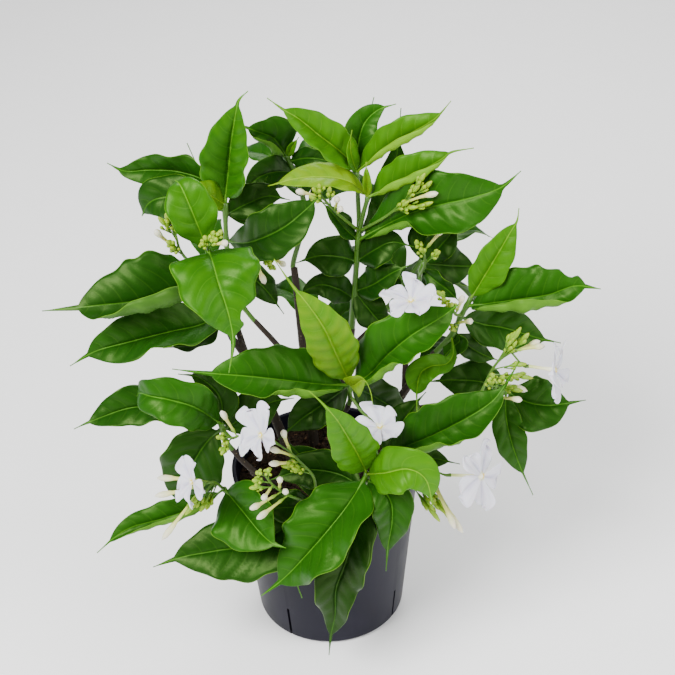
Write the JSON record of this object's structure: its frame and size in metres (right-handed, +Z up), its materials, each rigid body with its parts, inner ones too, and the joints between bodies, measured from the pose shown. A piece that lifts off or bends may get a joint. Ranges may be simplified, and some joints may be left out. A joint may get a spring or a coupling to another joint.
{
  "type": "potted flowering shrub",
  "caption": "Bushy pinwheel jasmine with glossy waved leaves, white pinwheel blooms and slim buds, standing in soil in a tapered charcoal nursery pot.",
  "frame": {"origin": "centre of the pot's flat base, at the height it rests on", "axes": "+Z up along the pot's axis, -Y towards the front of the plant that the picture shows, +X to the viewer's right"},
  "size_m": [0.4011, 0.3232, 0.4617],
  "materials": {
    "pot": "satin charcoal moulded plastic",
    "soil": "dark crumbly potting mix",
    "bark": "matte brown bark",
    "leaf": "glossy waxy green leaf blades with green stems",
    "bud": "satin yellow-green stalks and buds",
    "petal": "soft matte white petals"
  },
  "bodies": {
    "root": {"bloom_centre": "petal", "bloom_far_right": "petal", "bloom_front_left": "petal", "bloom_front_right": "petal", "bloom_lower_left": "petal", "bloom_upper_right": "petal", "leafy_stem_back_left": "leaf", "leafy_stem_back_low": "leaf", "leafy_stem_back_right": "leaf", "leafy_stem_back_top": "leaf", "leafy_stem_centre": "leaf", "leafy_stem_front": "leaf", "leafy_stem_front_left": "leaf", "leafy_stem_front_right": "leaf", "leafy_stem_left_front": "leaf", "leafy_stem_low_left_lower": "leaf", "leafy_stem_low_left_upper": "leaf", "leafy_stem_right": "leaf", "leafy_stem_right_back": "leaf", "leafy_stem_right_lower": "leaf", "leafy_stem_top": "leaf", "leafy_stem_upper_left": "leaf", "pot": "pot", "soil": "soil", "spray_behind_left": "bud", "spray_centre_right": "bud", "spray_front_left": "bud", "spray_front_low": "bud", "spray_front_right": "bud", "spray_left": "bud", "spray_left_front": "bud", "spray_low_left": "bud", "spray_lower_left": "bud", "spray_right_back": "bud", "spray_right_large": "bud", "spray_right_low": "bud", "spray_right_small": "bud", "spray_top_front": "bud", "spray_top_middle": "bud", "spray_top_right": "bud", "spray_upper_right": "bud", "woody_stem_back": "bark", "woody_stem_front": "bark", "woody_stem_left": "bark", "woody_stem_low_left": "bark", "woody_stem_middle": "bark", "woody_stem_right": "bark"}
  },
  "joints": []
}
